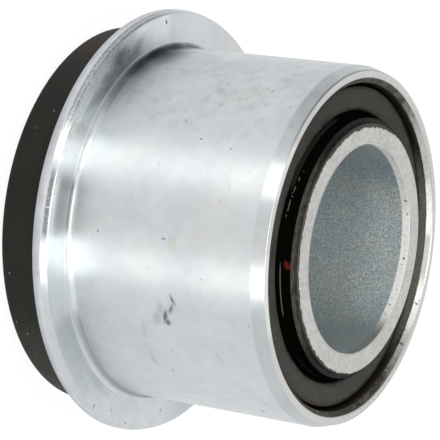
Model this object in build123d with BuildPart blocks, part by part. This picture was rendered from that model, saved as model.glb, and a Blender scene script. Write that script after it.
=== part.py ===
from build123d import *
import os

# Rubber metal bush: a plain inner tube and a flanged outer tube, bonded by one rubber moulding.
# It stands on the end of its inner sleeve. +Z is the bush axis and points from the rubber collar
# towards the open end of the outer sleeve. The origin is the centre of the lowest face.
# All lengths are in millimetres.

# Inner sleeve: a length of steel tube
bore_diameter = 30.0
inner_sleeve_wall = 3.0
inner_sleeve_length = 44.0
rear_stand_out = 1.1          # how far the sleeve stands proud of the rubber collar
bore_lead_in_depth = 1.2      # finely turned mouth at each end of the bore
bore_lead_in_width = 0.06

# Outer sleeve: a steel tube with its rear end turned out into a flange
outer_sleeve_diameter = 52.0
outer_sleeve_wall = 2.5
outer_sleeve_length = 34.0    # from the back of the flange to the open end
flange_width = 5.5            # how far the flange stands out from the tube
flange_thickness = 2.5
flange_bevel_depth = 1.5      # long shallow bevel on the front edge of the rim
flange_bevel_width = 0.35
flange_root_radius = 1.1
throat_bevel = 2.0            # inside corner where the tube turns out into the flange
press_chamfer_depth = 2.2     # lead-in on the outside of the open end
press_chamfer_width = 0.64
mouth_chamfer_depth = 1.5     # bevel on the inside of the open end
mouth_chamfer_width = 0.9

# Rubber body: one moulding, bonded to both sleeves
collar_step = 2.2             # how far the collar stands out past the tube
collar_height = 8.0
collar_edge_radius = 0.8
face_recess = 1.6             # front face of the rubber below the open end
lip_wall_top = 0.75           # raised lip of rubber round the inner sleeve
lip_wall_base = 1.15
lip_above_open_end = 0.2
lip_edge_bevel = 0.25
groove_width = 0.4            # fine annular groove at the foot of the lip
groove_depth = 0.9

# Radii
bore_radius = bore_diameter / 2
inner_sleeve_radius = bore_radius + inner_sleeve_wall
outer_sleeve_radius = outer_sleeve_diameter / 2
rubber_radius = outer_sleeve_radius - outer_sleeve_wall
flange_radius = outer_sleeve_radius + flange_width
collar_radius = outer_sleeve_radius + collar_step
lip_base_radius = inner_sleeve_radius + lip_wall_base
lip_top_radius = inner_sleeve_radius + lip_wall_top
groove_radius = lip_base_radius + groove_width

# Heights
collar_rear = rear_stand_out
flange_back = collar_rear + collar_height
flange_front = flange_back + flange_thickness
open_end = flange_back + outer_sleeve_length
rubber_face = open_end - face_recess
groove_bottom = rubber_face - groove_depth
lip_top = open_end + lip_above_open_end

same_place = 0.001            # two edges closer than this count as one place


def rim(part, radius, height):
    """The circular edge of a turned part at this radius and height."""
    return part.edges().filter_by(
        lambda edge: edge.geom_type == GeomType.CIRCLE
        and abs(edge.radius - radius) < same_place
        and abs(edge.center().Z - height) < same_place
    )


def flat_face(part, height):
    """The flat ring of a turned part at this height."""
    rings = part.faces().filter_by(GeomType.PLANE)
    return rings.sort_by(lambda face: abs(face.center().Z - height))[0]


# Inner sleeve
with BuildPart() as inner_sleeve:
    with BuildSketch(Plane.XY):
        Circle(inner_sleeve_radius)
        Circle(bore_radius, mode=Mode.SUBTRACT)
    extrude(amount=inner_sleeve_length)
    for end_height in (0, inner_sleeve_length):
        chamfer(
            rim(inner_sleeve, bore_radius, end_height),
            length=bore_lead_in_width,
            length2=bore_lead_in_depth,
            reference=flat_face(inner_sleeve, end_height),
        )
inner_sleeve.part.label = "inner_sleeve"

# Outer sleeve
with BuildPart() as outer_sleeve:
    with BuildSketch(Plane.XZ):
        with BuildLine():
            Polyline(
                (rubber_radius, flange_back),
                (flange_radius, flange_back),
                (flange_radius, flange_front),
                (outer_sleeve_radius, flange_front),
                (outer_sleeve_radius, open_end),
                (rubber_radius, open_end),
                close=True,
            )
        make_face()
    revolve(axis=Axis.Z)
    chamfer(
        rim(outer_sleeve, flange_radius, flange_front),
        length=flange_bevel_width,
        length2=flange_bevel_depth,
        reference=flat_face(outer_sleeve, flange_front),
    )
    chamfer(
        rim(outer_sleeve, outer_sleeve_radius, open_end),
        length=press_chamfer_width,
        length2=press_chamfer_depth,
        reference=flat_face(outer_sleeve, open_end),
    )
    chamfer(
        rim(outer_sleeve, rubber_radius, open_end),
        length=mouth_chamfer_width,
        length2=mouth_chamfer_depth,
        reference=flat_face(outer_sleeve, open_end),
    )
    fillet(rim(outer_sleeve, outer_sleeve_radius, flange_front), flange_root_radius)
    chamfer(rim(outer_sleeve, rubber_radius, flange_back), throat_bevel)
outer_sleeve.part.label = "outer_sleeve"

# Rubber body
with BuildPart() as rubber_body:
    with BuildSketch(Plane.XZ):
        with BuildLine():
            Polyline(
                (inner_sleeve_radius, collar_rear),
                (collar_radius, collar_rear),
                (collar_radius, flange_back),
                (rubber_radius, flange_back),
                (rubber_radius, rubber_face),
                (groove_radius, rubber_face),
                (groove_radius, groove_bottom),
                (lip_base_radius, groove_bottom),
                (lip_base_radius, rubber_face),
                (lip_top_radius, lip_top),
                (inner_sleeve_radius, lip_top),
                close=True,
            )
        make_face()
    revolve(axis=Axis.Z)
    fillet(rim(rubber_body, collar_radius, collar_rear), collar_edge_radius)
    chamfer(rim(rubber_body, rubber_radius, flange_back), throat_bevel)
    chamfer(rim(rubber_body, lip_top_radius, lip_top), lip_edge_bevel)
rubber_body.part.label = "rubber_body"

os.makedirs("parts", exist_ok=True)
export_step(inner_sleeve.part, "parts/inner_sleeve.step")
export_step(outer_sleeve.part, "parts/outer_sleeve.step")
export_step(rubber_body.part, "parts/rubber_body.step")
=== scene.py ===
from math import cos, hypot, pi, radians, sin, tan

import bpy
from mathutils import Matrix, Vector


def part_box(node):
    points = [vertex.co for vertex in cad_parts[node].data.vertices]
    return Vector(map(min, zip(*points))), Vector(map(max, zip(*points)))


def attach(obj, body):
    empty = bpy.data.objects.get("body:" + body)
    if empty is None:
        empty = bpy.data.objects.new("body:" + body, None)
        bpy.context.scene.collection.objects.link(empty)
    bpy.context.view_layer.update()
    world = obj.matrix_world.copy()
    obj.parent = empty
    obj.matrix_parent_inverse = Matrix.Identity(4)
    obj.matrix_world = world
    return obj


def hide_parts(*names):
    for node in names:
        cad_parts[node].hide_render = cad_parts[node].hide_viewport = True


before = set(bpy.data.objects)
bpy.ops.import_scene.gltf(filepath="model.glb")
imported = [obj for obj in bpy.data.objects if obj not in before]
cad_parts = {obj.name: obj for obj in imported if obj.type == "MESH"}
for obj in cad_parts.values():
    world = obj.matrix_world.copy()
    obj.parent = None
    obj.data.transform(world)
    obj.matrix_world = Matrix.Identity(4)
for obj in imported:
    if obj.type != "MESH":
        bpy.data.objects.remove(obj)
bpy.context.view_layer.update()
mm = 0.001


def addObject(name, data):
    made = bpy.data.objects.new(name, data)
    bpy.context.scene.collection.objects.link(made)
    return made


def addNode(tree, kind, inputs=None, **settings):
    # makes a node and gives its outputs; a kind without Node in its name is a shader node
    node = tree.nodes.new(kind if "Node" in kind else "ShaderNode" + kind)
    for name, value in settings.items():
        setattr(node, name, value)
    for name, value in (inputs or {}).items():
        if isinstance(value, bpy.types.NodeSocket):
            tree.links.new(value, node.inputs[name])
        else:
            node.inputs[name].default_value = value
    return node.outputs


def clearTree(owner):
    # a material's or the world's own tree, emptied
    owner.use_nodes = True
    owner.node_tree.nodes.clear()
    return owner.node_tree


def treeOf(values):
    # a socket knows the tree that it belongs to
    return next(value.id_data for value in values if isinstance(value, bpy.types.NodeSocket))


def calc(operation, *values):
    return addNode(treeOf(values), "Math", dict(enumerate(values)), operation=operation)[0]


def both(first, *others):
    # shares multiplied: 1 only where all of them are
    for other in others:
        first = calc("MULTIPLY", first, other)
    return first


def either(first, *others):
    # the largest of the shares
    for other in others:
        first = calc("MAXIMUM", first, other)
    return first


def vector(operation, *values, scale=None):
    # a dot product and a length come out as a number
    inputs = dict(enumerate(values))
    if scale is not None:
        inputs["Scale"] = scale
    outputs = addNode(treeOf((*values, scale)), "VectorMath", inputs, operation=operation)
    return outputs["Value" if operation in ("DOT_PRODUCT", "LENGTH") else "Vector"]


def ramp(value, start, end, low=0.0, high=1.0):
    # a soft step from low to high while value goes from start to end
    inputs = dict(enumerate((value, start, end, low, high)))
    return addNode(value.id_data, "MapRange", inputs, interpolation_type="SMOOTHSTEP")[0]


def wayTo(turn, up=0.0):
    # turn is in degrees round the axis from +X, up in degrees above level
    turn, up = radians(turn), radians(up)
    return Vector((cos(turn) * cos(up), sin(turn) * cos(up), sin(up)))


print("camera, floor and lights")

cameraView = {
    "place": (-1.30 * mm, -303.46 * mm, 200.67 * mm),
    "lookDown": 30.73,  # degrees below level, looking along +Y
    "roll": 98.05,  # the bush stands on end, so the camera is turned over
    "lens": 196.36,
    "sensor": 36,
}

studio = {
    "floorSide": 6.0,
    "floorGrey": 0.80,  # what the object gets back from the floor
    "floorGlow": 0.93,  # what the camera sees of it, before the little that carries the shadow
    "shadowShare": 0.12,
    "mirroredFloor": 0.86,
    "worldLight": 0.60,
    "tentLight": 0.86,  # the white tent as metal mirrors it
    "tentTop": (0.40, 50, 78),  # level overhead, and the heights between which it falls to it
    "tentFoot": (0.72, 4, 24),  # level near the floor, and the heights between which it rises
    "tentGaps": (  # turn, height, inner and outer width in degrees, level
        (150, 36, 8, 33, 0.2), (172, 4, 10, 40, 0.62), (-90, 22, 8, 30, 0.72),
    ),
    "lamps": (  # degrees to the side of the camera, degrees above the floor, power
        (30, 32, 1.4),
        (-35, 32, 1.4),
        (0, 80, 1.6),
    ),
    "lampReach": 0.75,
    "lampTarget": (0, 0, 25 * mm),
    "lampSize": 0.22,
    "lampWarmth": (1.0, 0.972, 0.925),
}


def makeCamera():
    data = bpy.data.cameras.new("camera")
    data.sensor_width = cameraView["sensor"]
    data.lens = cameraView["lens"]
    camera = addObject("camera", data)
    tilt = Matrix.Rotation(radians(90 - cameraView["lookDown"]), 3, "X")
    roll = Matrix.Rotation(radians(cameraView["roll"]), 3, "Z")
    camera.location = cameraView["place"]
    camera.rotation_euler = (tilt @ roll).to_euler()
    bpy.context.scene.camera = camera


def plainGrey(level):
    return (level, level, level, 1)


def mixShaders(share, under, over):
    return addNode(share.id_data, "MixShader", {0: share, 1: under, 2: over})[0]


def seenAs(plain, mirrored, white):
    # plain lights the object, mirrored is what metal shows, white is what the camera and clear things see
    path = addNode(plain.id_data, "LightPath")
    straight = either(path["Is Camera Ray"], path["Is Transmission Ray"])
    return mixShaders(straight, mixShaders(path["Is Glossy Ray"], plain, mirrored), white)


def makeFloor():
    half = studio["floorSide"] / 2
    mesh = bpy.data.meshes.new("floor")
    corners = [(-half, -half, 0), (half, -half, 0), (half, half, 0), (-half, half, 0)]
    mesh.from_pydata(corners, [], [(0, 1, 2, 3)])
    floor = addObject("floor", mesh)
    material = bpy.data.materials.new("paperFloor")
    material.cycles.emission_sampling = "NONE"
    tree = clearTree(material)
    plain = addNode(tree, "BsdfDiffuse", {"Color": plainGrey(studio["floorGrey"])})[0]
    glow = addNode(tree, "Emission", {"Strength": studio["floorGlow"]})[0]
    shade = addNode(tree, "BsdfDiffuse", {"Color": plainGrey(studio["shadowShare"])})[0]
    white = addNode(tree, "AddShader", {0: glow, 1: shade})[0]
    mirrored = addNode(tree, "Emission", {"Strength": studio["mirroredFloor"]})[0]
    # from below the floor is clear, so that the underside can be looked at
    below = addNode(tree, "NewGeometry")["Backfacing"]
    clear = addNode(tree, "BsdfTransparent")[0]
    seen = mixShaders(below, seenAs(plain, mirrored, white), clear)
    addNode(tree, "OutputMaterial", {"Surface": seen})
    mesh.materials.append(material)


def makeTent():
    world = bpy.data.worlds.new("tent")
    bpy.context.scene.world = world
    world.cycles.sampling_method = "NONE"
    tree = clearTree(world)

    def heightRamp(height, limits, low, high):
        return ramp(height, sin(radians(limits[0])), sin(radians(limits[1])), low, high)

    def backdrop(strength):
        inputs = {"Color": plainGrey(1), "Strength": strength}
        return addNode(tree, "Background", inputs)[0]

    # what metal mirrors: white cloth, less of it overhead and near the floor, with a few gaps
    toward = addNode(tree, "TexCoord")["Generated"]
    height = addNode(tree, "SeparateXYZ", {0: toward})["Z"]
    topLevel, *topLimits = studio["tentTop"]
    footLevel, *footLimits = studio["tentFoot"]
    level = heightRamp(height, topLimits, studio["tentLight"], topLevel * studio["tentLight"])
    level = both(level, heightRamp(height, footLimits, footLevel, 1.0))
    for turn, up, inner, outer, gapLevel in studio["tentGaps"]:
        near = vector("DOT_PRODUCT", toward, wayTo(turn, up))
        level = both(level, ramp(near, cos(radians(outer)), cos(radians(inner)), 1.0, gapLevel))
    seen = seenAs(backdrop(studio["worldLight"]), backdrop(level), backdrop(1.0))
    addNode(tree, "OutputWorld", {"Surface": seen})


def makeLamps():
    target = Vector(studio["lampTarget"])
    for number, (turn, height, power) in enumerate(studio["lamps"], 1):
        data = bpy.data.lights.new(f"softbox{number}", "AREA")
        data.shape = "SQUARE"
        data.size = studio["lampSize"]
        data.energy = power
        data.color = studio["lampWarmth"]
        lamp = addObject(f"softbox{number}", data)
        lamp.location = target + studio["lampReach"] * wayTo(turn - 90, height)
        lamp.rotation_euler = (target - lamp.location).to_track_quat("-Z", "Y").to_euler()


makeCamera()
makeFloor()
makeTent()
makeLamps()
bpy.context.scene.view_settings.view_transform = "Standard"


print("outlines and the turning tree")


def roundedOutline(corners, hold=0.12):
    # corners are (radius, height, rounding) in mm; a rounding becomes an arc between two holding points
    outline = []
    for index, (radius, height, rounding) in enumerate(corners):
        here = Vector((radius, height))
        if not rounding:
            outline.append(here)
            continue
        arcSteps = 4 if rounding < 0.5 else 8
        before = Vector(corners[index - 1][:2]) - here
        after = Vector(corners[(index + 1) % len(corners)][:2]) - here
        reach = rounding / tan(before.angle(after) / 2)
        first = here + before.normalized() * reach
        last = here + after.normalized() * reach
        roomy = 2.2 * (reach + hold)  # a shorter side has no place for a holding point
        if before.length > roomy:
            outline.append(here + before.normalized() * (reach + hold))
        for step in range(arcSteps + 1):
            share = step / arcSteps
            outline.append(first * (1 - share) ** 2 + here * 2 * share * (1 - share) + last * share ** 2)
        if after.length > roomy:
            outline.append(here + after.normalized() * (reach + hold))
    return outline


def startTree(name, inputs):
    tree = bpy.data.node_groups.new(name, "GeometryNodeTree")
    for socket, kind in inputs.items():
        tree.interface.new_socket(socket, in_out="INPUT", socket_type="NodeSocket" + kind)
    tree.interface.new_socket("Piece", in_out="OUTPUT", socket_type="NodeSocketGeometry")
    return tree, addNode(tree, "NodeGroupInput")


def endTree(tree, shape, finish):
    smooth = addNode(tree, "GeometryNodeSetShadeSmooth", {"Geometry": shape})[0]
    real = addNode(tree, "GeometryNodeRealizeInstances", {"Geometry": smooth})[0]
    finished = addNode(tree, "GeometryNodeSetMaterial", {"Geometry": real, "Material": finish})[0]
    addNode(tree, "NodeGroupOutput", {"Piece": finished})
    return tree


def makeTurningTree():
    # turns an outline into a closed ring: a grid with one row for each step round, laid on its points
    weldReach = 0.0005 * mm
    tearRise = 0.3 * mm  # how far above Ragged From the tearing is at its full depth
    tree, given = startTree("turnedPiece", {
        "Outline": "Geometry", "Steps": "Int", "Ragged From": "Float", "Ragged Depth": "Float",
        "Ragged Size": "Float", "Seed": "Float", "Finish": "Material"})
    counted = addNode(tree, "GeometryNodeAttributeDomainSize", {0: given["Outline"]}, component="MESH")
    points = counted["Point Count"]
    columns = calc("ADD", points, 1)
    rows = calc("ADD", given["Steps"], 1)
    grid = addNode(tree, "GeometryNodeMeshGrid", {"Vertices X": rows, "Vertices Y": columns})["Mesh"]
    number = addNode(tree, "GeometryNodeInputIndex")[0]
    row = calc("FLOOR", calc("ADD", calc("DIVIDE", number, columns), 0.0001))
    column = calc("MODULO", calc("MODULO", number, columns), points)
    whereIs = addNode(tree, "GeometryNodeInputPosition")[0]
    asked = {"Geometry": given["Outline"], "Index": column, "Value": whereIs}
    spot = addNode(tree, "GeometryNodeSampleIndex", asked, data_type="FLOAT_VECTOR", domain="POINT")["Value"]
    turn = both(calc("DIVIDE", row, given["Steps"]), -2 * pi)
    turned = addNode(tree, "VectorRotate", {0: spot, "Angle": turn}, rotation_type="Z_AXIS")[0]
    ring = addNode(tree, "GeometryNodeSetPosition", {"Geometry": grid, "Position": turned})[0]
    closed = addNode(tree, "GeometryNodeMergeByDistance", {"Geometry": ring, "Distance": weldReach})[0]
    # everything above Ragged From is torn down by up to Ragged Depth
    flat = vector("MULTIPLY", whereIs, (1, 1, 0))
    noise = {"Vector": flat, "W": given["Seed"], "Scale": given["Ragged Size"], "Detail": 3.0}
    torn = addNode(tree, "TexNoise", noise, noise_dimensions="4D")[0]
    height = addNode(tree, "SeparateXYZ", {0: whereIs})["Z"]
    above = ramp(height, given["Ragged From"], calc("ADD", given["Ragged From"], tearRise))
    drop = both(above, ramp(torn, 0.42, 0.62), given["Ragged Depth"])
    down = vector("SCALE", (0, 0, -1), scale=drop)
    ragged = addNode(tree, "GeometryNodeSetPosition", {"Geometry": closed, "Offset": down})[0]
    return endTree(tree, ragged, given["Finish"])


def growPiece(name, mesh, tree, values):
    # runs a tree on a mesh and keeps the result as a plain piece
    draft = addObject(name + "Draft", mesh)
    modifier = draft.modifiers.new("grown", "NODES")
    modifier.node_group = tree
    for socket in tree.interface.items_tree:
        if socket.in_out == "INPUT" and socket.name in values:
            modifier[socket.identifier] = values[socket.name]
    view = bpy.context.evaluated_depsgraph_get()
    made = bpy.data.meshes.new_from_object(draft.evaluated_get(view), depsgraph=view)
    bpy.data.objects.remove(draft)
    made.name = name
    made.materials.clear()
    made.materials.append(values["Finish"])
    return addObject(name, made)


def turnPiece(name, outline, finish, steps=384, raggedFrom=100.0, raggedDepth=0.0, raggedSize=1.0, seed=1.0):
    mesh = bpy.data.meshes.new(name + "Outline")
    joins = [(spot, (spot + 1) % len(outline)) for spot in range(len(outline))]
    mesh.from_pydata([(spot.x * mm, 0, spot.y * mm) for spot in outline], joins, [])
    return growPiece(name, mesh, turningTree, {
        "Steps": steps, "Ragged From": raggedFrom * mm, "Ragged Depth": raggedDepth * mm,
        "Ragged Size": raggedSize, "Seed": seed, "Finish": finish})


def giveFinish(piece, finish, chosen):
    # chosen says of a face's radius and height in mm whether it takes this finish
    piece.data.materials.append(finish)
    place = len(piece.data.materials) - 1
    for face in piece.data.polygons:
        if chosen(hypot(face.center.x, face.center.y) / mm, face.center.z / mm):
            face.material_index = place


turningTree = makeTurningTree()


print("finishes")

bumpHeight = 0.02  # mm, the same for every finish


def startFinish(name, look, base):
    # on says where a point of the surface is, in mm, and carries the colour that is built up, from look[base]
    material = bpy.data.materials.new(name)
    tree = clearTree(material)
    place = vector("SCALE", addNode(tree, "TexCoord")["Object"], scale=1 / mm)
    flat = vector("MULTIPLY", place, (1, 1, 0))
    return {
        "material": material,
        "tree": tree,
        "look": look,
        "base": look[base],
        "place": place,
        "height": addNode(tree, "SeparateXYZ", {0: place})["Z"],
        "radius": vector("LENGTH", flat),
        "outward": vector("NORMALIZE", flat),
    }


def colour(value):
    return value if isinstance(value, bpy.types.NodeSocket) else (*value, 1)


def tint(share, under, over):
    inputs = {0: share, 6: colour(under), 7: colour(over)}
    return addNode(share.id_data, "Mix", inputs, data_type="RGBA")[2]


def darken(under, share):
    # multiplies a colour by a grey value
    tree = share.id_data
    grey = addNode(tree, "CombineColor", {0: share, 1: share, 2: share})[0]
    inputs = {0: 1.0, 6: colour(under), 7: grey}
    return addNode(tree, "Mix", inputs, data_type="RGBA", blend_type="MULTIPLY")[2]


# these four change the colour that has been built up so far
def paintOver(on, share, name):
    on["base"] = tint(share, on["base"], on["look"][name])


def vary(on, value, start, end, low, high):
    on["base"] = darken(on["base"], ramp(value, start, end, low, high))


def towards(share, level):
    # 1 where share is 0, level where share is 1
    return ramp(share, 0, 1, 1, level)


def fade(on, share, level):
    on["base"] = darken(on["base"], towards(share, level))


def shade(on, share):
    on["base"] = darken(on["base"], calc("SUBTRACT", 1, share))


def stray(value, noise, amount):
    # moves a radius or a height to and fro with the noise, so that an edge wanders
    return calc("MULTIPLY_ADD", calc("SUBTRACT", noise, 0.5), amount, value)


def lumpy(on, size, detail=3.0, stretch=(1, 1, 1), seed=0.0, rough=0.5):
    # noise with lumps of about size mm, wider along the axes where stretch is small
    moved = vector("MULTIPLY_ADD", on["place"], stretch, (seed, 1.7 * seed, 2.3 * seed))
    inputs = {"Vector": moved, "Scale": 1 / size, "Detail": detail, "Roughness": rough}
    return addNode(on["tree"], "TexNoise", inputs)[0]


def toolLines(on, pitch, slide=0.05, detail=2.0):
    # fine rings round the axis, on walls, cones and faces alike
    flat = addNode(on["tree"], "SeparateXYZ", {0: on["place"]})
    along = calc("DIVIDE", calc("MULTIPLY_ADD", on["radius"], 1.37, on["height"]), pitch)
    parts = {0: both(flat["X"], slide), 1: both(flat["Y"], slide), 2: along}
    rings = addNode(on["tree"], "CombineXYZ", parts)[0]
    return addNode(on["tree"], "TexNoise", {"Vector": rings, "Scale": 1.0, "Detail": detail})[0]


def around(on, turn, inner, outer):
    # 1 within inner degrees of turn, falling to 0 at outer degrees
    return ramp(vector("DOT_PRODUCT", on["outward"], wayTo(turn)), cos(radians(outer)), cos(radians(inner)))


def band(value, low, high, soft):
    # 1 from low to high, falling to 0 within soft of them
    return both(ramp(value, low - soft, low), ramp(value, high, high + soft, 1.0, 0.0))


def spots(on, marks, wall=None, face=None, ragged=0.3, fineness=0.5, core=0.35):
    # soft-edged ellipses. On a wall of that radius: (turn, height, half around, half up, slant, strength).
    # On a face at that height: (turn, radius, half around, half outwards, slant, strength).
    noise = {"Vector": on["place"], "Scale": 1 / fineness, "Detail": 2.0}
    shake = addNode(on["tree"], "TexNoise", noise)["Color"]
    shaken = vector("MULTIPLY_ADD", shake, (ragged,) * 3, on["place"])
    shaken = vector("SUBTRACT", shaken, (ragged / 2,) * 3)
    shares = []
    for turn, second, halfAround, halfOther, slant, strength in marks:
        out, across, up = wayTo(turn), wayTo(turn + 90), Vector((0, 0, 1))
        other = up if wall else out
        middle = (wall * out + second * up) if wall else (second * out + face * up)
        long = across * cos(radians(slant)) + other * sin(radians(slant))
        wide = other * cos(radians(slant)) - across * sin(radians(slant))
        offset = vector("SUBTRACT", shaken, middle)
        axes = (long / halfAround, wide / halfOther, (out if wall else up) / 1.5)
        parts = dict(enumerate(vector("DOT_PRODUCT", offset, axis) for axis in axes))
        inside = addNode(on["tree"], "CombineXYZ", parts)[0]
        shares.append(ramp(vector("LENGTH", inside), core, 1.0, strength, 0.0))
    return either(*shares)


def endFinish(on, rough, *bumps, metal=0.0, specular=0.5, ior=1.5, brushing=0.0):
    # bumps are (height field, strength) pairs, each laid on the one before
    inputs = {"Base Color": on["base"], "Roughness": rough, "Metallic": metal, "Specular IOR Level": specular,
              "IOR": ior}
    if brushing:  # the tool lines run round the axis
        tangent = addNode(on["tree"], "Tangent", direction_type="RADIAL", axis="Z")[0]
        inputs |= {"Anisotropic": brushing, "Anisotropic Rotation": 0.25, "Tangent": tangent}
    for field, strength in bumps:
        given = {"Height": field, "Strength": strength, "Distance": bumpHeight * mm}
        if "Normal" in inputs:
            given["Normal"] = inputs["Normal"]
        inputs["Normal"] = addNode(on["tree"], "Bump", given)[0]
    shader = addNode(on["tree"], "BsdfPrincipled", inputs)[0]
    addNode(on["tree"], "OutputMaterial", {"Surface": shader})
    return on["material"]


print("outer sleeve")

outerLow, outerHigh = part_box("outer_sleeve")
outerSleeve = {
    "flangeBack": outerLow.z / mm,
    "openEnd": outerHigh.z / mm,
    "flangeRadius": outerHigh.x / mm,
    "tubeRadius": 26.0,
    "wallInside": 23.5,
    "flangeThickness": 2.5,
    "rimBevel": (1.0, 0.35),  # depth and width
    "rimBackRounding": 0.65,
    "rootRadius": 1.08,
    "throatBevel": 2.0,
    "pressChamfer": (1.9, 0.6),
    "mouthChamfer": (0.68, 0.82),
    "mouthTaper": (1.75, 0.1),
    "zinc": (0.775, 0.812, 0.83),
    "zincCloud": (0.715, 0.762, 0.79),
    "zincWarm": (0.815, 0.808, 0.8),
    "rimZinc": (0.66, 0.665, 0.71),
    "ringZinc": (0.725, 0.73, 0.715),
    "reflectionBlue": (0.135, 0.175, 0.225),
    "reflectionOlive": (0.25, 0.285, 0.265),
    "tealStainAndShade": (0.42, 0.5, 0.54),
    "rootBlue": (0.028, 0.062, 0.096),
    "markDark": (0.09, 0.1, 0.095),
    "markStraw": (0.62, 0.6, 0.4),
    "turning": 0.16,  # pitch of the finest tool lines
    "roughness": 0.36,
    "flangeRoughness": 0.34,
    "anisotropy": 0.95,
    "ringAnisotropy": 0.55,
    "freckle": (0.3, 0.3, 0.27),
    "scraped": (0.92, 0.94, 0.93),
    "ringSpeck": (0.2, 0.185, 0.16),
    "mouthSteel": (0.56, 0.555, 0.535),
    "mouthSpeck": (0.05, 0.045, 0.04),
    "soilDark": (0.046, 0.044, 0.032),
    "soilBrown": (0.074, 0.063, 0.043),
    "wallBlack": (0.02, 0.018, 0.015),  # the wall under the mouth's bevel, and its lit side
    "wallGrey": (0.25, 0.245, 0.225),
    "flangeFinish": (26.02, 4.0),  # outside this radius, up to this height over the flange's back
    "rimFinish": (30.6, 1.45),
    "ringFinish": (24.33, 25.38),  # the faced end lies between these radii, the mouth inside them
    "mouthFrom": 3.0,  # height over the flange's back where the mouth's finish starts
    "mouthMiddle": 24.0,
}


def outerOutline(size):
    back, top, tube, inside = size["flangeBack"], size["openEnd"], size["tubeRadius"], size["wallInside"]
    front = back + size["flangeThickness"]
    rim = size["flangeRadius"]
    bevelDepth, bevelWidth = size["rimBevel"]
    chamferDepth, chamferWidth = size["pressChamfer"]
    mouthDepth, mouthWidth = size["mouthChamfer"]
    taperDepth, taperWidth = size["mouthTaper"]
    return roundedOutline([
        (inside, back + size["throatBevel"], 0.1),
        (inside, top - taperDepth, 0.3),
        (inside + taperWidth, top - mouthDepth, 0.10),
        (inside + taperWidth + mouthWidth, top, 0.10),
        (tube - chamferWidth, top, 0.10),
        (tube, top - chamferDepth, 0.8),
        (tube, front, size["rootRadius"]),
        (rim - bevelWidth, front, 0.22),
        (rim, front - bevelDepth, 0.4),
        (rim, back, size["rimBackRounding"]),
        (inside + size["throatBevel"], back, 0.1),
    ])


# dark nicks and scuffs on the tube; spots says what the numbers of a mark are
tubeMarks = (
    (-19.5, 36.8, 0.95, 0.28, 14, 0.85), (-27.2, 39, 0.55, 0.4, 0, 0.4), (-12, 29.8, 2.6, 0.16, 28, 0.45),
    (-15.5, 26, 1.6, 0.14, 26, 0.55), (-37.9, 25.6, 0.42, 0.28, 20, 0.55),
    (-63.2, 28.3, 1.35, 0.46, -24, 0.8), (-66.2, 28.7, 1.35, 0.44, 22, 0.72),
    (-60.2, 27.2, 1.7, 0.6, -14, 0.92), (-58.4, 27.5, 0.85, 0.7, 0, 0.85),
    (-59.5, 25.8, 1.9, 1.1, -20, 0.3), (-62.5, 26.6, 1.8, 0.9, 10, 0.26),
    (-84.8, 27.2, 0.17, 0.55, -8, 0.8), (-74.3, 33.6, 0.2, 0.16, 0, 0.75), (-75.3, 25.1, 0.2, 0.2, 0, 0.3),
    (-48, 34.9, 0.3, 0.2, 0, 0.3), (-49, 34.6, 0.3, 0.22, 0, 0.36), (-52.5, 37, 0.7, 0.14, 12, 0.26),
    (-46.5, 27.9, 0.4, 0.16, 14, 0.3), (-47.8, 27, 0.4, 0.24, 0, 0.24), (-42, 23.1, 2.2, 0.6, 4, 0.16),
    (-55, 23.1, 2.2, 0.5, 0, 0.14), (-61.7, 40.7, 0.4, 0.2, 0, 0.25), (-69, 31.2, 0.4, 0.3, 0, 0.16),
    (-84.3, 16.4, 0.24, 0.26, 0, 0.75), (-66.7, 15.3, 0.22, 0.22, 0, 0.4), (-18, 18.4, 2, 0.16, 28, 0.24),
    (-42.5, 12.1, 0.6, 0.14, 10, 0.5), (-108.8, 38.4, 0.24, 0.2, 0, 0.3),
    (-115.3, 34.4, 0.3, 0.26, 0, 0.65), (-118.5, 33.4, 0.5, 0.24, -10, 0.26),
    (-117.3, 29.3, 0.26, 0.22, -20, 0.85), (-133.5, 40, 0.45, 0.26, 0, 0.36),
    (-140, 35.7, 0.6, 0.28, 0, 0.38), (-141, 34.5, 0.45, 0.28, 0, 0.4), (-137.7, 34.1, 0.5, 0.4, 0, 0.22),
    (-151, 36.5, 0.95, 0.3, -14, 0.36), (-141.5, 28.1, 0.95, 0.18, -6, 0.48),
    (-138.3, 27.8, 0.55, 0.2, 8, 0.34), (-123, 25.6, 0.65, 0.55, 0, 0.24), (-131, 29.6, 0.8, 0.9, 0, 0.14),
    (-134, 31.8, 0.4, 0.2, 10, 0.22), (-145, 25.6, 0.7, 0.4, 0, 0.16), (-96, 21.1, 0.5, 0.3, 0, 0.18),
    (-107.5, 24.1, 0.35, 0.35, 0, 0.2), (-130.8, 21.2, 0.55, 0.24, -22, 0.34),
    (-146.7, 22.7, 0.4, 0.3, 0, 0.2), (-173, 36.9, 2.9, 0.22, -26, 0.85), (-171, 21.2, 3, 0.12, -26, 0.2),
    (-166, 24, 2.4, 0.12, -26, 0.18), (-103, 36.1, 1.4, 0.2, 8, 0.16), (-98.5, 35.2, 0.7, 0.3, 14, 0.16),
    (24, 30.2, 1.3, 0.18, 18, 0.5), (47, 24.5, 0.5, 0.3, 0, 0.45), (71, 33, 0.9, 0.2, -14, 0.4),
    (96, 19.5, 0.4, 0.4, 0, 0.5), (118, 27, 1.6, 0.16, 24, 0.45), (139, 36.2, 0.6, 0.3, -8, 0.5),
    (158, 17, 1.2, 0.22, 12, 0.4),
)
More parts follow.
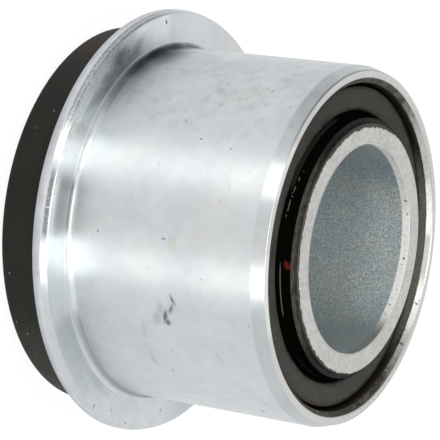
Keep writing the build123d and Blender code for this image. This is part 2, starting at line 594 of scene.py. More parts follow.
# on the flange's front
flangeMarks = (
    (-25.5, 30.8, 0.16, 0.46, 4, 0.95), (-16.8, 29.65, 0.22, 0.28, 0, 0.55), (-8, 30.6, 0.5, 0.26, 0, 0.35),
    (10, 28.8, 0.26, 0.3, 0, 0.6), (-163.6, 30.05, 0.28, 0.6, -18, 0.95),
    (-143.5, 29.1, 0.26, 0.3, 10, 0.7), (-93.2, 30.3, 0.07, 0.36, 0, 0.6), (-175, 30.2, 0.3, 0.16, 0, 0.35),
    (35, 29.4, 0.2, 0.34, 8, 0.6), (64, 30.4, 0.36, 0.16, 0, 0.5), (101, 28.9, 0.16, 0.3, 0, 0.55),
    (133, 30.1, 0.24, 0.24, 0, 0.5),
)
flangePale = (
    (-28, 30.7, 0.28, 0.42, 8, 0.6), (-120, 28.3, 0.12, 0.5, 6, 0.55), (-128.5, 28.5, 0.12, 0.36, 6, 0.6),
    (-123.8, 26.85, 0.55, 0.12, 0, 0.8), (-166, 29.6, 0.4, 0.5, 0, 0.35), (-89.5, 31.2, 0.13, 0.5, 0, 0.95),
)
strawMarks = ((-83.5, 28.6, 1.5, 1.0, 0, 0.26), (-132.5, 20.6, 1.1, 0.7, 0, 0.22))
# painted dark reflections on the flange's front, in blue, olive and teal
blueReflections = (
    (-139.5, 29, 3.4, 2.3, 0, 0.72), (-140.5, 27.9, 9, 1.5, 0, 0.5), (-147.5, 28.4, 4.2, 1.5, -14, 0.5),
    (-131.5, 28.1, 3.6, 1.3, 16, 0.34),
)
oliveReflections = ((-127.0, 27.8, 5.8, 1.4, 14, 0.58), (-131.5, 28.9, 3.2, 1.1, 20, 0.36))
tealReflections = (
    (-49, 28.8, 13, 2.9, 0, 0.26), (-91, 28.4, 5.5, 3, 0, 0.52), (-30, 27.8, 6, 1, 0, 0.34),
)
# painted shade in the corner between tube and flange, dark blue where each mirrors the other; the spots lie
# on the tube
rootShades = (
    (-156, 11.8, 8, 6.2, 0, 0.94), (-146.5, 11.5, 6.5, 4.2, 0, 0.78), (-133, 11.4, 8, 2.6, 0, 0.34),
    (-166.5, 11.9, 5.4, 3.6, 0, 0.93), (-152, 11.5, 9, 2, 0, 0.9), (-176, 11.6, 5, 2, 0, 0.66),
)
# painted shade, grey, low on the tube near the flange
rootGreys = (
    (-42, 11.6, 12, 3.2, 0, 0.55), (-16, 11.4, 10, 5.5, 0, 0.6), (-91, 11.5, 4, 1.5, 0, 0.2),
    (4, 11.6, 7, 5, 0, 0.5), (-176, 12.5, 8, 5, 0, 0.4), (-106, 11.8, 8, 6, 0, 0.4),
)


def wearTube(on, look):
    wall, top = look["tubeRadius"], look["openEnd"]
    fade(on, around(on, -134, 20, 46), 1.06)
    # painted shade low on the tube, grey and dark blue, in the corner at the flange
    grey = spots(on, rootGreys, wall=wall, ragged=1.2, fineness=2.4, core=0)
    paintOver(on, grey, "tealStainAndShade")
    cornerShade = spots(on, rootShades, wall=wall, ragged=0.9, fineness=1.8, core=0.12)
    paintOver(on, cornerShade, "rootBlue")
    clouds = ramp(lumpy(on, 1.7, 4, seed=27, rough=0.6), 0.46, 0.74, 0, 0.34)
    paintOver(on, both(clouds, around(on, -146, 16, 34)), "tealStainAndShade")
    paintOver(on, spots(on, strawMarks, wall=wall), "markStraw")
    # scuffs break up along the way the part was handled
    dark = spots(on, tubeMarks, wall=wall, ragged=0.42, fineness=0.4, core=0.15)
    torn = ramp(lumpy(on, 0.26, 3, (1, 1, 0.6), seed=12, rough=0.6), 0.34, 0.56, 0.55, 1)
    paintOver(on, both(dark, torn), "markDark")
    # the press chamfer is a shade duller, with a dark line along its inner edge on one side
    vary(on, on["height"], top - 2, top - 1.8, 1, 0.9)
    line = both(ramp(on["height"], top - 0.34, top - 0.16), around(on, -160, 32, 48))
    shade(on, both(line, 0.42))


def paintFlangeShade(on, look, front, rootEdge):
    # painted dark reflections on the face, and painted shade in the corner at the tube
    onFace = both(ramp(on["height"], front - 0.2, front - 0.1),
                  ramp(on["radius"], rootEdge - 0.15, rootEdge + 0.1, 0.25, 1))
    blotches = ramp(lumpy(on, 1.3, 4, seed=1.4), 0.3, 0.62, 0.75, 1)
    for table, name in ((tealReflections, "tealStainAndShade"), (oliveReflections, "reflectionOlive"), (blueReflections, "reflectionBlue")):
        share = spots(on, table, face=front, ragged=0.9, fineness=2.6, core=0.2)
        paintOver(on, both(share, blotches, onFace), name)
    cornerShade = spots(on, rootShades, wall=look["tubeRadius"], ragged=0.7, fineness=1.8, core=0.15)
    cornerShade = both(cornerShade, ramp(on["radius"], rootEdge - 0.16, rootEdge - 0.46))
    paintOver(on, cornerShade, "rootBlue")


def wearFlange(on, look):
    radius, height = on["radius"], on["height"]
    front = look["flangeBack"] + look["flangeThickness"]
    rootEdge = look["tubeRadius"] + look["rootRadius"]  # the painted shade and reflections stop at the fillet
    paintFlangeShade(on, look, front, rootEdge)
    # painted highlight on the fillet where it meets the face, and painted shade on it toward the tube
    filletHighlight = both(band(radius, rootEdge - 0.24, rootEdge - 0.04, 0.1), around(on, -90, 62, 82))
    fade(on, both(filletHighlight, towards(around(on, -90.5, 6, 14), 0.45)), 1.28)
    filletShade = both(ramp(radius, rootEdge - 0.34, rootEdge - 0.9), towards(around(on, -90, 24, 44), 0.2))
    fade(on, filletShade, 0.64)
    # painted shade: both lamp streaks are dimmed, and the patch between them is darker still
    inside = ramp(radius, 31.1, 30.9)
    streaks = either(both(around(on, -76, 4, 11), 0.4), around(on, -105, 5, 12))
    fade(on, both(streaks, inside), 0.8)
    between = around(on, -90.5, 0.5, 11)
    gapShade = both(ramp(radius, 29, 30.5, 1, 0.5), ramp(radius, 26.22, 26.42))
    fade(on, both(between, gapShade, ramp(radius, 31.3, 31.15)), 0.47)
    fade(on, both(between, band(radius, 26.45, 26.95, 0.1)), 0.46)
    # painted highlights beside them
    highlightPatches = both(around(on, -122, 7, 15), ramp(radius, 28.9, 29.8))
    highlightPatches = either(highlightPatches, both(around(on, -157, 5, 11), ramp(radius, 26.9, 27.2, 0, 0.75)))
    highlightPatches = either(highlightPatches, both(around(on, -65, 3, 11), 0.85))
    fade(on, both(highlightPatches, inside), 1.28)
    # mottling on the outer half of the face, and a painted highlight near the face's edge between the streaks
    mottle = ramp(lumpy(on, 0.42, 4, seed=6.2, rough=0.7), 0.4, 0.62, 0.86, 1.1)
    outer = both(around(on, -125, 12, 24), ramp(radius, 28.4, 29.4))
    on["base"] = tint(outer, on["base"], darken(on["base"], mottle))
    fade(on, both(around(on, -91, 4, 9), ramp(radius, 29.4, 30.6)), 1.14)
    # the bevel is painted darker along its middle as a dark reflection, with two fine dark lines on one side
    onBevel = ramp(radius, 31, 31.15)
    middle = both(band(height, front - 0.58, front - 0.3, 0.3), onBevel)
    bevelShade = either(both(around(on, -90.5, 6, 10), 0.68), both(around(on, -138, 16, 34), 0.22))
    bevelShade = both(bevelShade, ramp(on["speckle"], 0.35, 0.6, 0.6, 1))
    shade(on, both(bevelShade, middle))
    lines = both(band(height, front - 0.25, front - 0.15, 0.1), onBevel)
    lines = either(lines, band(height, front - 0.88, front - 0.76, 0.1))
    lines = both(lines, ramp(on["speckle"], 0.3, 0.6, 0.35, 1))
    shade(on, both(lines, around(on, -138, 20, 36), 0.5))
    paintOver(on, spots(on, flangeMarks, face=front, ragged=0.2), "markDark")
    # a freckled patch low on the face
    freckles = ramp(lumpy(on, 0.38, 3, seed=31, rough=0.6), 0.62, 0.7, 0, 0.55)
    paintOver(on, both(freckles, around(on, -6, 14, 30)), "freckle")
    paintOver(on, spots(on, flangePale, face=front, ragged=0.2), "scraped")


def makeZinc(name, look, roughness, addWear):
    on = startFinish(name, look, "zinc")
    # cloudy plating, colder and warmer in places
    paintOver(on, ramp(lumpy(on, 9, 4, seed=3.1), 0.35, 0.68), "zincCloud")
    warm = ramp(lumpy(on, 13, 3, (1, 1, 0.7), seed=8.3), 0.5, 0.75, 0, 0.6)
    paintOver(on, warm, "zincWarm")
    lines = toolLines(on, look["turning"])
    vary(on, lines, 0.25, 0.75, 0.988, 1.01)
    patches = lumpy(on, 1.6, 4, (1, 1, 0.8), seed=14, rough=0.6)
    vary(on, patches, 0.3, 0.7, 0.965, 1.025)
    on["speckle"] = lumpy(on, 0.35, 3, seed=5, rough=0.65)
    vary(on, on["speckle"], 0.62, 0.8, 1, 0.93)
    addWear(on, look)
    rough = ramp(lumpy(on, 5, 4, seed=2.2), 0.3, 0.7, roughness - 0.02, roughness + 0.03)
    return endFinish(on, rough, (lines, 0.03), (on["speckle"], 0.04), metal=1, brushing=look["anisotropy"])


def makeRimZinc(look):
    on = startFinish("rimZinc", look, "rimZinc")
    back = look["flangeBack"]
    paintOver(on, ramp(lumpy(on, 3, 4), 0.35, 0.7), "zincCloud")
    streaks = lumpy(on, 0.5, 3, (1, 1, 0.25), seed=4)
    vary(on, streaks, 0.3, 0.7, 0.95, 1.03)
    vary(on, on["height"], back + 0.3, back + 1.45, 0.8, 1.04)
    rough = ramp(streaks, 0.3, 0.7, 0.46, 0.58)
    return endFinish(on, rough, (streaks, 0.1), metal=1)


def makeFacedRing(look):
    # the sleeve's annular end: faced, with brown specks on two sides
    on = startFinish("facedRing", look, "ringZinc")
    grain = lumpy(on, 0.25, 4, seed=1.5, rough=0.7)
    vary(on, grain, 0.3, 0.75, 0.95, 1.05)
    soiled = either(both(around(on, 150, 22, 50), 0.3), both(around(on, 30, 20, 44), 0.42))
    specks = ramp(lumpy(on, 0.55, 4, seed=3.5, rough=0.7), 0.5, 0.66)
    paintOver(on, both(specks, soiled), "ringSpeck")
    # painted highlights where the two lamp streaks fall
    fade(on, either(around(on, -71, 9, 16), around(on, -111, 6, 12)), 1.22)
    # a darker line where the ring meets the chamfer
    edge = look["tubeRadius"] - look["pressChamfer"][1]
    fade(on, both(ramp(on["radius"], edge - 0.16, edge), around(on, -158, 34, 50)), 0.72)
    rough = ramp(grain, 0.3, 0.7, 0.34, 0.4)
    return endFinish(on, rough, (grain, 0.15), metal=1, brushing=look["ringAnisotropy"])


# dark specks on the mouth bevel
mouthMarks = (
    (148, 42.95, 0.3, 0.22, 30, 0.85), (73, 42.75, 0.22, 0.34, 20, 0.85), (74.5, 42.95, 0.16, 0.2, 0, 0.7),
    (56.5, 42.7, 0.34, 0.26, 0, 0.85), (45, 42.8, 0.2, 0.14, 0, 0.6), (9, 42.85, 0.3, 0.14, 0, 0.7),
    (128, 42.8, 0.18, 0.14, 0, 0.5), (100, 42.9, 0.12, 0.18, 0, 0.45),
)


def makeBareMouth(look):
    # the inside bevel is bare steel; below it and round two thirds of the ring it is soiled by the moulding
    on = startFinish("bareMouth", look, "mouthSteel")
    foot = look["openEnd"] - look["mouthChamfer"][0]
    grain = lumpy(on, 0.3, 4, (1, 1, 0.5), seed=2, rough=0.7)
    blotches = lumpy(on, 1.2, 4, (1, 1, 1.6), seed=7, rough=0.6)
    vary(on, grain, 0.3, 0.72, 0.8, 1.12)
    vary(on, blotches, 0.35, 0.65, 1.05, 0.88)
    # painted shade between two painted lamp highlights on the far side of the bevel
    fade(on, around(on, 89, 5, 13), 0.7)
    fade(on, either(around(on, 108, 5, 13), around(on, 73, 5, 13)), 1.45)
    soil = tint(ramp(blotches, 0.42, 0.6), look["soilDark"], look["soilBrown"])
    soil = darken(soil, ramp(grain, 0.3, 0.7, 0.5, 1.6))
    # the wall under the bevel goes from grey on the lit side to black
    lit = around(on, 92, 14, 46)
    under = ramp(calc("MULTIPLY_ADD", lit, -0.38, on["height"]), foot - 0.25, foot - 0.62)
    wall = tint(lit, look["wallBlack"], look["wallGrey"])
    soil = tint(under, soil, darken(wall, ramp(grain, 0.3, 0.7, 0.75, 1.2)))
    cleaned = calc("ADD", around(on, 99, 30, 64), ramp(blotches, 0.3, 0.7, -0.12, 0.12))
    cleaned = both(cleaned, ramp(stray(on["height"], blotches, 0.3), foot - 0.12, foot + 0.1))
    on["base"] = tint(cleaned, soil, on["base"])
    paintOver(on, spots(on, mouthMarks, wall=look["mouthMiddle"], ragged=0.2), "mouthSpeck")
    rough = ramp(grain, 0.3, 0.7, 0.4, 0.52)
    return endFinish(on, rough, (grain, 0.3), metal=0.6)


def finishSleeve(piece, look):
    # all of it has the tube's finish first, then each of these takes its own faces
    back, top = look["flangeBack"], look["openEnd"]
    flangeFrom, flangeHeight = look["flangeFinish"]
    rimFrom, rimHeight = look["rimFinish"]
    ringFrom, ringTo = look["ringFinish"]
    giveFinish(piece, makeZinc("flangeZinc", look, look["flangeRoughness"], wearFlange),
               lambda radius, height: radius > flangeFrom and height < back + flangeHeight)
    giveFinish(piece, makeRimZinc(look),
               lambda radius, height: radius > rimFrom and height < back + rimHeight)
    giveFinish(piece, makeFacedRing(look),
               lambda radius, height: ringFrom < radius < ringTo and height > top - 0.05)
    giveFinish(piece, makeBareMouth(look),
               lambda radius, height: radius < ringFrom and height > back + look["mouthFrom"])


sleevePiece = turnPiece("outerSleeve", outerOutline(outerSleeve),
                        makeZinc("turnedZinc", outerSleeve, outerSleeve["roughness"], wearTube))
finishSleeve(sleevePiece, outerSleeve)


print("inner sleeve")

innerLow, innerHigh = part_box("inner_sleeve")
innerSleeve = {
    "rearEnd": innerLow.z / mm,
    "frontEnd": innerHigh.z / mm,
    "outside": innerHigh.x / mm,
    "bore": 15.0,
    "leadIn": (1.2, 0.06),
    "edgeRounding": 0.18,
    "endZinc": (0.69, 0.695, 0.675),
    "endCloud": (0.6417, 0.64635, 0.62775),
    "landZinc": (0.93, 0.935, 0.925),
    "boreZinc": (0.525, 0.566, 0.56),
    "boreBlue": (0.47, 0.535, 0.57),
    "soot": (0.055, 0.052, 0.044),
    "soiledEdge": 18.02,  # where the soiling of the outer edge starts on the clean side
    "pit": (0.17, 0.165, 0.145),
    "boreEdge": (0.22, 0.22, 0.2),
    "landSpeck": (0.3, 0.3, 0.28),
    "landShade": (0.1, 0.115, 0.1),
    "landFleck": (0.04, 0.04, 0.035),
    "boreFinish": 0.03,  # faces within this of the bore's radius have its finish
    "landFinish": 0.12,
}


def innerOutline(size):
    bottom, top, outside, bore = size["rearEnd"], size["frontEnd"], size["outside"], size["bore"]
    depth, width = size["leadIn"]
    edge = size["edgeRounding"]
    return roundedOutline([
        (outside, bottom, edge),
        (bore + width, bottom, 0.05),
        (bore, bottom + depth, 0.3),
        (bore, top - depth, 0.3),
        (bore + width, top, 0.05),
        (outside, top, edge),
    ])


def makeSawnEnd(look):
    on = startFinish("sawnEnd", look, "endZinc")
    radius, soiledEdge = on["radius"], look["soiledEdge"]
    grain = lumpy(on, 0.22, 4, seed=1, rough=0.7)
    clouds = ramp(lumpy(on, 3.5, 3, seed=9), 0.35, 0.7)
    paintOver(on, clouds, "endCloud")
    vary(on, grain, 0.32, 0.68, 0.85, 1.1)
    vary(on, lumpy(on, 0.9, 4, seed=24, rough=0.6), 0.34, 0.64, 0.92, 1.04)
    # rubber crept over the outer edge, further on one side
    creep = calc("ADD", both(around(on, -95, 78, 116), 0.36), both(around(on, -165, 22, 40), 0.28))
    tears = both(calc("SUBTRACT", lumpy(on, 1.1, 5, seed=15, rough=0.7), 0.5), 1.1)
    shore = calc("ADD", calc("ADD", radius, creep), tears)
    paintOver(on, ramp(shore, soiledEdge - 0.05, soiledEdge + 0.07, 0, 0.94), "soot")
    # dark nicks and pits, close together near the outer edge
    pits = ramp(lumpy(on, 0.34, 2, seed=44), 0.66, 0.74)
    paintOver(on, both(pits, ramp(radius, 16.6, 17.5, 0.25, 0.85)), "pit")
    # faint soiling along the bore's edge
    inner = both(ramp(calc("SUBTRACT", radius, tears), 15.1, 15.5, 0.45, 0), ramp(grain, 0.45, 0.6))
    paintOver(on, inner, "boreEdge")
    rough = ramp(grain, 0.3, 0.7, 0.5, 0.62)
    return endFinish(on, rough, (grain, 0.35), metal=1)


# dark flecks just inside the bore
landMarks = (
    (121.5, 43.6, 0.26, 0.34, 20, 0.9), (113.5, 43.65, 0.22, 0.24, 0, 0.75),
    (88, 43.5, 0.24, 0.3, 14, 0.85), (84.5, 43.3, 0.14, 0.2, 0, 0.7), (155, 43.75, 0.6, 0.14, 8, 0.7),
    (136, 43.4, 0.3, 0.14, 0, 0.45), (60, 43.3, 0.3, 0.26, 0, 0.6), (70, 43.6, 0.16, 0.16, 0, 0.45),
    (101, 43.2, 0.16, 0.2, 0, 0.4),
)


def makeBoreLand(look):
    # a matt, light band at the mouth of the bore, with painted shade on one side
    on = startFinish("boreLand", look, "landZinc")
    grain = lumpy(on, 0.24, 4, (1, 1, 0.7), seed=5.5, rough=0.7)
    vary(on, grain, 0.32, 0.72, 0.84, 1.08)
    specks = ramp(lumpy(on, 0.5, 3, seed=8, rough=0.6), 0.6, 0.7, 0, 0.6)
    paintOver(on, specks, "landSpeck")
    fade(on, around(on, 143, 12, 34), 0.8)
    shadedSide = both(around(on, 24, 12, 32), ramp(grain, 0.3, 0.6, 0.75, 0.95))
    paintOver(on, shadedSide, "landShade")
    paintOver(on, spots(on, landMarks, wall=look["bore"], ragged=0.2), "landFleck")
    rough = ramp(grain, 0.3, 0.7, 0.32, 0.44)
    return endFinish(on, rough, (grain, 0.25), specular=0.9)


def makeDrawnBore(look):
    on = startFinish("drawnBore", look, "boreZinc")
    grain = lumpy(on, 0.3, 4, seed=2, rough=0.75)
    patches = lumpy(on, 4.2, 3, (1, 1, 0.8), seed=6)
    paintOver(on, ramp(patches, 0.42, 0.66), "boreBlue")
    vary(on, grain, 0.3, 0.75, 0.8, 1.18)
    # frosted: fine sparkle, strongest on one side
    sparkle = ramp(lumpy(on, 0.24, 3, seed=33, rough=0.8), 0.34, 0.66, 0.72, 1.34)
    frosted = ramp(around(on, 98, 30, 70), 0, 1, 0.25, 1)
    on["base"] = tint(frosted, on["base"], darken(on["base"], sparkle))
    # painted light: lighter on the far side near the mouth, where light from outside falls
    fade(on, both(around(on, 90, 14, 56), ramp(on["height"], 33, 41, 0.2, 1)), 1.38)
    rough = ramp(grain, 0.3, 0.7, 0.48, 0.62)
    return endFinish(on, rough, (grain, 0.5), (patches, 0.2), metal=1)


def finishTube(piece, look):
    landLow, landHigh = look["rearEnd"] + look["leadIn"][0], look["frontEnd"] - look["leadIn"][0]
    boreTo, landTo = look["bore"] + look["boreFinish"], look["bore"] + look["landFinish"]
    giveFinish(piece, makeDrawnBore(look),
               lambda radius, height: radius < boreTo and landLow < height < landHigh)
    giveFinish(piece, makeBoreLand(look),
               lambda radius, height: radius < landTo and not landLow < height < landHigh)


tubePiece = turnPiece("innerSleeve", innerOutline(innerSleeve), makeSawnEnd(innerSleeve))
finishTube(tubePiece, innerSleeve)


print("rubber body")

rubberLow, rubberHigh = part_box("rubber_body")
rubberBody = {
    "collarRear": rubberLow.z / mm + 0.26,
    "collarRadius": rubberHigh.x / mm,
    "collarRounding": 0.8,
    "faceRecess": 1.6,
    "edgeGroove": (23.12, 0.9),  # radius where it starts, depth
    "groove": (19.05, 19.6, 0.75),  # inner and outer radius, depth
    "flashRidge": (18.92, 0.2),
    "lip": (18.75, 18.4, 0.2),
    "film": 0.07,  # thickness of the film that climbs the inner sleeve
    "collarBlack": (0.0128, 0.013, 0.0104),
    "faceBlack": (0.0412, 0.0406, 0.0362),
    "grooveShadeBlack": (0.0022, 0.0022, 0.0018),
    "filmBrown": (0.046, 0.043, 0.036),
    "dust": (0.3, 0.29, 0.25),
    "red": (0.13, 0.015, 0.009),
    "flash": (0.13, 0.132, 0.115),
    "thread": (0.06, 0.03, 0.022),
    "bloomOlive": (0.036, 0.036, 0.022),
    "bloomBrown": (0.036, 0.03, 0.027),
    "rubbed": (0.085, 0.083, 0.074),
    "rust": (0.04, 0.022, 0.016),
    "collarDust": (0.058, 0.054, 0.047),
    "nick": (0.003, 0.003, 0.003),
    "grooveFlash": (0.026, 0.026, 0.023),
    "filmSmoke": (0.012, 0.011, 0.009),
    "filmPale": (0.11, 0.105, 0.09),
    "grooveFinish": (19.56, 22.94),  # both grooves lie inside the first radius and outside the second
    "filmFinish": 18.62,
    "raggedEdge": (0.5, 0.34, 900.0),  # distance below the sleeve's end, depth, fineness
    "seed": 4.0,
    "steps": 600,
}


def rubberOutline(size):
    top, inside = outerSleeve["openEnd"], innerSleeve["outside"]
    face = top - size["faceRecess"]
    back = outerSleeve["flangeBack"]
    wall, throat = outerSleeve["wallInside"], outerSleeve["throatBevel"]
    edgeStart, edgeDepth = size["edgeGroove"]
    grooveIn, grooveOut, grooveDepth = size["groove"]
    ridge, ridgeHeight = size["flashRidge"]
    lipOut, lipIn, lipHeight = size["lip"]
    film = inside + size["film"]
    return roundedOutline([
        (inside - 0.1, size["collarRear"], 0),
        (inside - 0.1, innerSleeve["frontEnd"] - 0.6, 0),
        (film - 0.03, innerSleeve["frontEnd"] - 0.16, 0.02),
        (film, innerSleeve["frontEnd"] - 0.34, 0),
        (film, top + lipHeight + 0.15, 0.05),
        (lipIn, top + lipHeight, 0.1),
        (lipOut, top + lipHeight - 0.1, 0.12),
        (ridge - 0.04, face + 0.02, 0.05),
        (ridge, face + ridgeHeight, 0.04),
        (grooveIn, face, 0.05),
        (grooveIn + 0.03, face - grooveDepth, 0.05),
        (grooveOut - 0.10, face - grooveDepth, 0.05),
        (grooveOut, face - 0.02, 0.45),
        (edgeStart, face, 0.20),
        (edgeStart + 0.25, face - edgeDepth, 0.1),
        (wall + 0.1, face - edgeDepth, 0),
        (wall + 0.1, back + throat, 0),
        (wall + throat, back + 0.1, 0),
        (size["collarRadius"], back - 0.05, 0.15),
        (size["collarRadius"], size["collarRear"], size["collarRounding"]),
    ])


# pale grit on the collar
collarGrit = (
    (-118.1, 5.53, 0.2, 0.18, 0, 0.55), (-111.9, 3.61, 0.16, 0.16, 0, 0.45),
    (-68.6, 2.82, 0.17, 0.17, 0, 0.75), (-52.4, 2.44, 0.22, 0.16, 0, 0.5), (-48.5, 3.77, 0.26, 0.2, 0, 0.6),
    (-96, 6.9, 0.12, 0.14, 0, 0.35), (30, 5.2, 0.18, 0.14, 0, 0.5), (75, 3.4, 0.14, 0.18, 0, 0.5),
    (128, 6.1, 0.2, 0.14, 0, 0.5), (164, 4, 0.14, 0.14, 0, 0.5),
)


def makeMouldedRubber(look):
    on = startFinish("mouldedRubber", look, "collarBlack")
    radius, top = on["radius"], outerSleeve["openEnd"]
    onEnd = ramp(on["height"], top - 2.6, top - 2.3)
    onCollar = calc("SUBTRACT", 1, onEnd)
    clouds = lumpy(on, 5, 4, seed=1)
    grain = lumpy(on, 0.3, 4, seed=3, rough=0.7)
    paintOver(on, onEnd, "faceBlack")
    vary(on, clouds, 0.3, 0.7, 0.8, 1.22)
    vary(on, grain, 0.3, 0.72, 0.72, 1.3)
    fade(on, both(around(on, -176, 26, 56), onEnd), 0.76)
    # painted shade: the face goes black towards the groove, unevenly
    grooveShade = ramp(stray(radius, lumpy(on, 2.2, 4, seed=51, rough=0.6), 1.6), 20.5, 19.4)
    fade(on, both(grooveShade, onEnd, towards(around(on, -68, 14, 24), 0.5)), 0.26)
    # and painted shade again at its outer edge
    edgeShade = ramp(stray(radius, lumpy(on, 1.6, 4, seed=57, rough=0.6), 1), 22.2, 22.95)
    fade(on, both(edgeShade, onEnd), 0.25)
    # a brown thread where the face meets the outer groove, on the lower side
    thread = both(band(radius, 22.66, 22.78, 0.06), both(around(on, -20, 24, 34), onEnd))
    paintOver(on, both(thread, ramp(grain, 0.35, 0.6, 0.3, 0.9)), "thread")
    # olive and brown bloom on the recessed face
    for turn, bloom in ((171, "bloomOlive"), (-158, "bloomBrown")):
        paintOver(on, both(around(on, turn, 4, 14), onEnd, 0.5), bloom)
    # pale patches where the face was rubbed
    rubbed = ramp(lumpy(on, 0.7, 4, seed=21, rough=0.65), 0.56, 0.7, 0, 0.3)
    paintOver(on, both(rubbed, onEnd), "rubbed")
    # rust from the press and dust on the collar
    rusty = both(around(on, -152, 6, 16), ramp(clouds, 0.36, 0.6, 0.1, 0.55), onCollar)
    paintOver(on, rusty, "rust")
    dusty = both(around(on, -33, 8, 24), ramp(grain, 0.4, 0.62, 0.1, 0.55), onCollar)
    paintOver(on, dusty, "collarDust")
    dust = ramp(lumpy(on, 0.42, 2, seed=11), 0.735, 0.8, 0, 0.4)
    paintOver(on, dust, "dust")
    paintOver(on, spots(on, collarGrit, wall=look["collarRadius"], ragged=0.1), "dust")
    nick = spots(on, ((-172.8, 19.9, 0.17, 0.36, 20, 0.95),), face=top - look["faceRecess"], ragged=0.1)
    paintOver(on, nick, "nick")
    rough = ramp(clouds, 0.3, 0.7, 0.54, 0.66)
    smooth = calc("SUBTRACT", 1, nick)
    return endFinish(on, rough, (grain, 0.35), (rubbed, 0.2), (smooth, 0.6), specular=0.2)


def makeGrooveRubber(look):
    # painted shade: the lip's wall and both grooves are laid far blacker than the rest of the rubber; paint
    # and flash show on the ridge
    on = startFinish("grooveRubber", look, "grooveShadeBlack")
    radius, top = on["radius"], outerSleeve["openEnd"]
    grain = lumpy(on, 0.25, 4, seed=3, rough=0.7)
    vary(on, grain, 0.3, 0.7, 0.6, 1.6)
    ridge = both(band(radius, 18.88, 18.95, 0.02), ramp(on["height"], top - 1.44, top - 1.41))
    # grey flash with a painted glint: the ridge is paler toward the lamps
    glintSide = either(around(on, -68, 8, 13), both(around(on, -16, 10, 20), 0.12))
    paintOver(on, both(ridge, glintSide), "flash")
    # flash half fills the outer side of the groove on the near half
    filled = both(around(on, -134, 18, 26), ramp(radius, 18.97, 19.04))
    filled = either(filled, both(around(on, -84, 28, 40), ramp(radius, 19.1, 19.5, 0, 0.8)))
    filled = both(filled, ramp(radius, 22, 21))
    paintOver(on, both(filled, ramp(grain, 0.3, 0.7, 0.6, 1)), "grooveFlash")
    fleck = ((-79.3, top - 0.42, 0.8, 0.5, 20, 0.95), (-78.8, top - 0.05, 0.6, 0.42, 0, 0.8))
    paintOver(on, spots(on, fleck, wall=look["lip"][0], ragged=0.9), "red")
    return endFinish(on, 0.85, (grain, 0.3), ior=1)


def makeFilmRubber(look):
    # the thin film on the sleeve: ringed by the mould, smoked in patches
    on = startFinish("filmRubber", look, "filmBrown")
    rings = toolLines(on, 0.11, slide=0.6, detail=3)
    patches = lumpy(on, 0.9, 4, seed=17, rough=0.65)
    vary(on, rings, 0.3, 0.7, 0.6, 1.5)
    paintOver(on, ramp(patches, 0.48, 0.66, 0, 0.8), "filmSmoke")
    # painted sheen: the film is lighter on the side facing the lamps and far darker elsewhere
    vary(on, around(on, -82, 26, 56), 0, 1, 0.16, 1)
    paintOver(on, ramp(lumpy(on, 0.5, 3, seed=19), 0.62, 0.72, 0, 0.5), "filmPale")
    return endFinish(on, 0.58, (rings, 0.4), (patches, 0.3), specular=0.16)


def finishRubber(piece, look):
    top = outerSleeve["openEnd"]
    grooveFloor = top - look["faceRecess"] - 1.2
    innerTo, outerFrom = look["grooveFinish"]
    giveFinish(piece, makeGrooveRubber(look),
               lambda radius, height: height > grooveFloor and (radius < innerTo or radius > outerFrom))
    giveFinish(piece, makeFilmRubber(look),
               lambda radius, height: radius < look["filmFinish"] and height > top + 0.1)


raggedDown, raggedDepth, raggedSize = rubberBody["raggedEdge"]
rubberPiece = turnPiece("rubberBody", rubberOutline(rubberBody), makeMouldedRubber(rubberBody),
                        steps=rubberBody["steps"], raggedFrom=innerSleeve["frontEnd"] - raggedDown,
                        raggedDepth=raggedDepth, raggedSize=raggedSize, seed=rubberBody["seed"])
finishRubber(rubberPiece, rubberBody)


print("flash crumbs")

flashCrumbs = {
    "arcs": (  # from and to in degrees of turn, radius, height
        (-99.2, -99.6, 19.05, 41.7), (-101.4, -106.2, 19.03, 41.73), (-107.8, -108.2, 18.98, 41.78),
        (-109.2, -109.4, 19.16, 41.78), (-110.3, -112.6, 18.96, 41.8), (-115.2, -117, 18.9, 41.9),
        (-120, -120.4, 18.82, 42.02),
    ),
    "arcSteps": 6,
    "spacing": 0.06,
    "size": 0.085,
    "seed": 12,
}


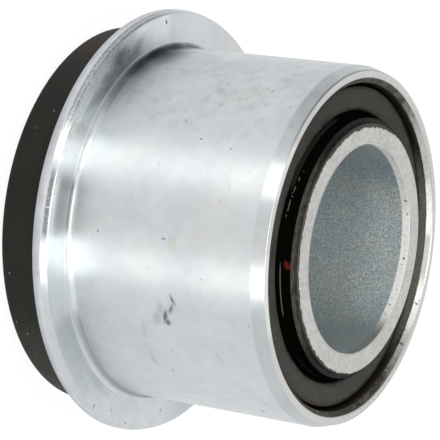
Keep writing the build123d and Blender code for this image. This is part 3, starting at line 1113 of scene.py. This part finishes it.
def makeCrumbTree():
    # lumps of torn rubber strung along the given edges
    tree, given = startTree("tornFlash", {
        "Path": "Geometry", "Spacing": "Float", "Size": "Float", "Seed": "Int", "Finish": "Material"})
    line = addNode(tree, "GeometryNodeMeshToCurve", {0: given["Path"]})[0]
    walk = {"Curve": line, "Length": given["Spacing"]}
    stops = addNode(tree, "GeometryNodeResampleCurve", walk, mode="LENGTH")
    ball = addNode(tree, "GeometryNodeMeshIcoSphere", {"Radius": given["Size"], "Subdivisions": 2})

    def between(low, high, seedStep):
        inputs = {0: low, 1: high, "Seed": calc("ADD", given["Seed"], seedStep)}
        return addNode(tree, "FunctionNodeRandomValue", inputs, data_type="FLOAT_VECTOR")[0]

    scale = between((0.5, 0.5, 0.4), (1.3, 1.2, 1.0), 0)
    turn = between((0, 0, 0), (6.28,) * 3, 1)
    crumbs = addNode(tree, "GeometryNodeInstanceOnPoints", {
        "Points": stops[0], "Instance": ball[0], "Rotation": turn, "Scale": scale})[0]
    aside = 0.035 * mm
    strewn = between((-aside, -aside, -0.03 * mm), (aside, aside, 0.04 * mm), 2)
    moved = addNode(tree, "GeometryNodeTranslateInstances", {
        "Instances": crumbs, "Translation": strewn, "Local Space": False})[0]
    return endTree(tree, moved, given["Finish"])


def makeFlashRubber(look):
    on = startFinish("flashRubber", look, "flash")
    grain = lumpy(on, 0.12, 3, seed=2, rough=0.7)
    vary(on, grain, 0.3, 0.7, 0.7, 1.3)
    return endFinish(on, 0.7, (grain, 0.4), specular=0.2)


def layCrumbs(name, size, finish):
    points, joins = [], []
    steps = size["arcSteps"]
    for start, end, radius, height in size["arcs"]:
        for step in range(steps + 1):
            way = wayTo(start + (end - start) * step / steps)
            points.append(radius * mm * way + Vector((0, 0, height * mm)))
            if step:
                joins.append((len(points) - 2, len(points) - 1))
    mesh = bpy.data.meshes.new(name + "Path")
    mesh.from_pydata(points, joins, [])
    return growPiece(name, mesh, makeCrumbTree(), {
        "Spacing": size["spacing"] * mm, "Size": size["size"] * mm, "Seed": size["seed"], "Finish": finish})


crumbPiece = layCrumbs("flashCrumbs", flashCrumbs, makeFlashRubber(rubberBody))
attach(crumbPiece, "root")

for piece, node, slot in (
    (sleevePiece, "outer_sleeve", "zinc_shell"),
    (tubePiece, "inner_sleeve", "zinc_tube"),
    (rubberPiece, "rubber_body", "rubber"),
):
    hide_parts(node)
    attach(piece, "root")
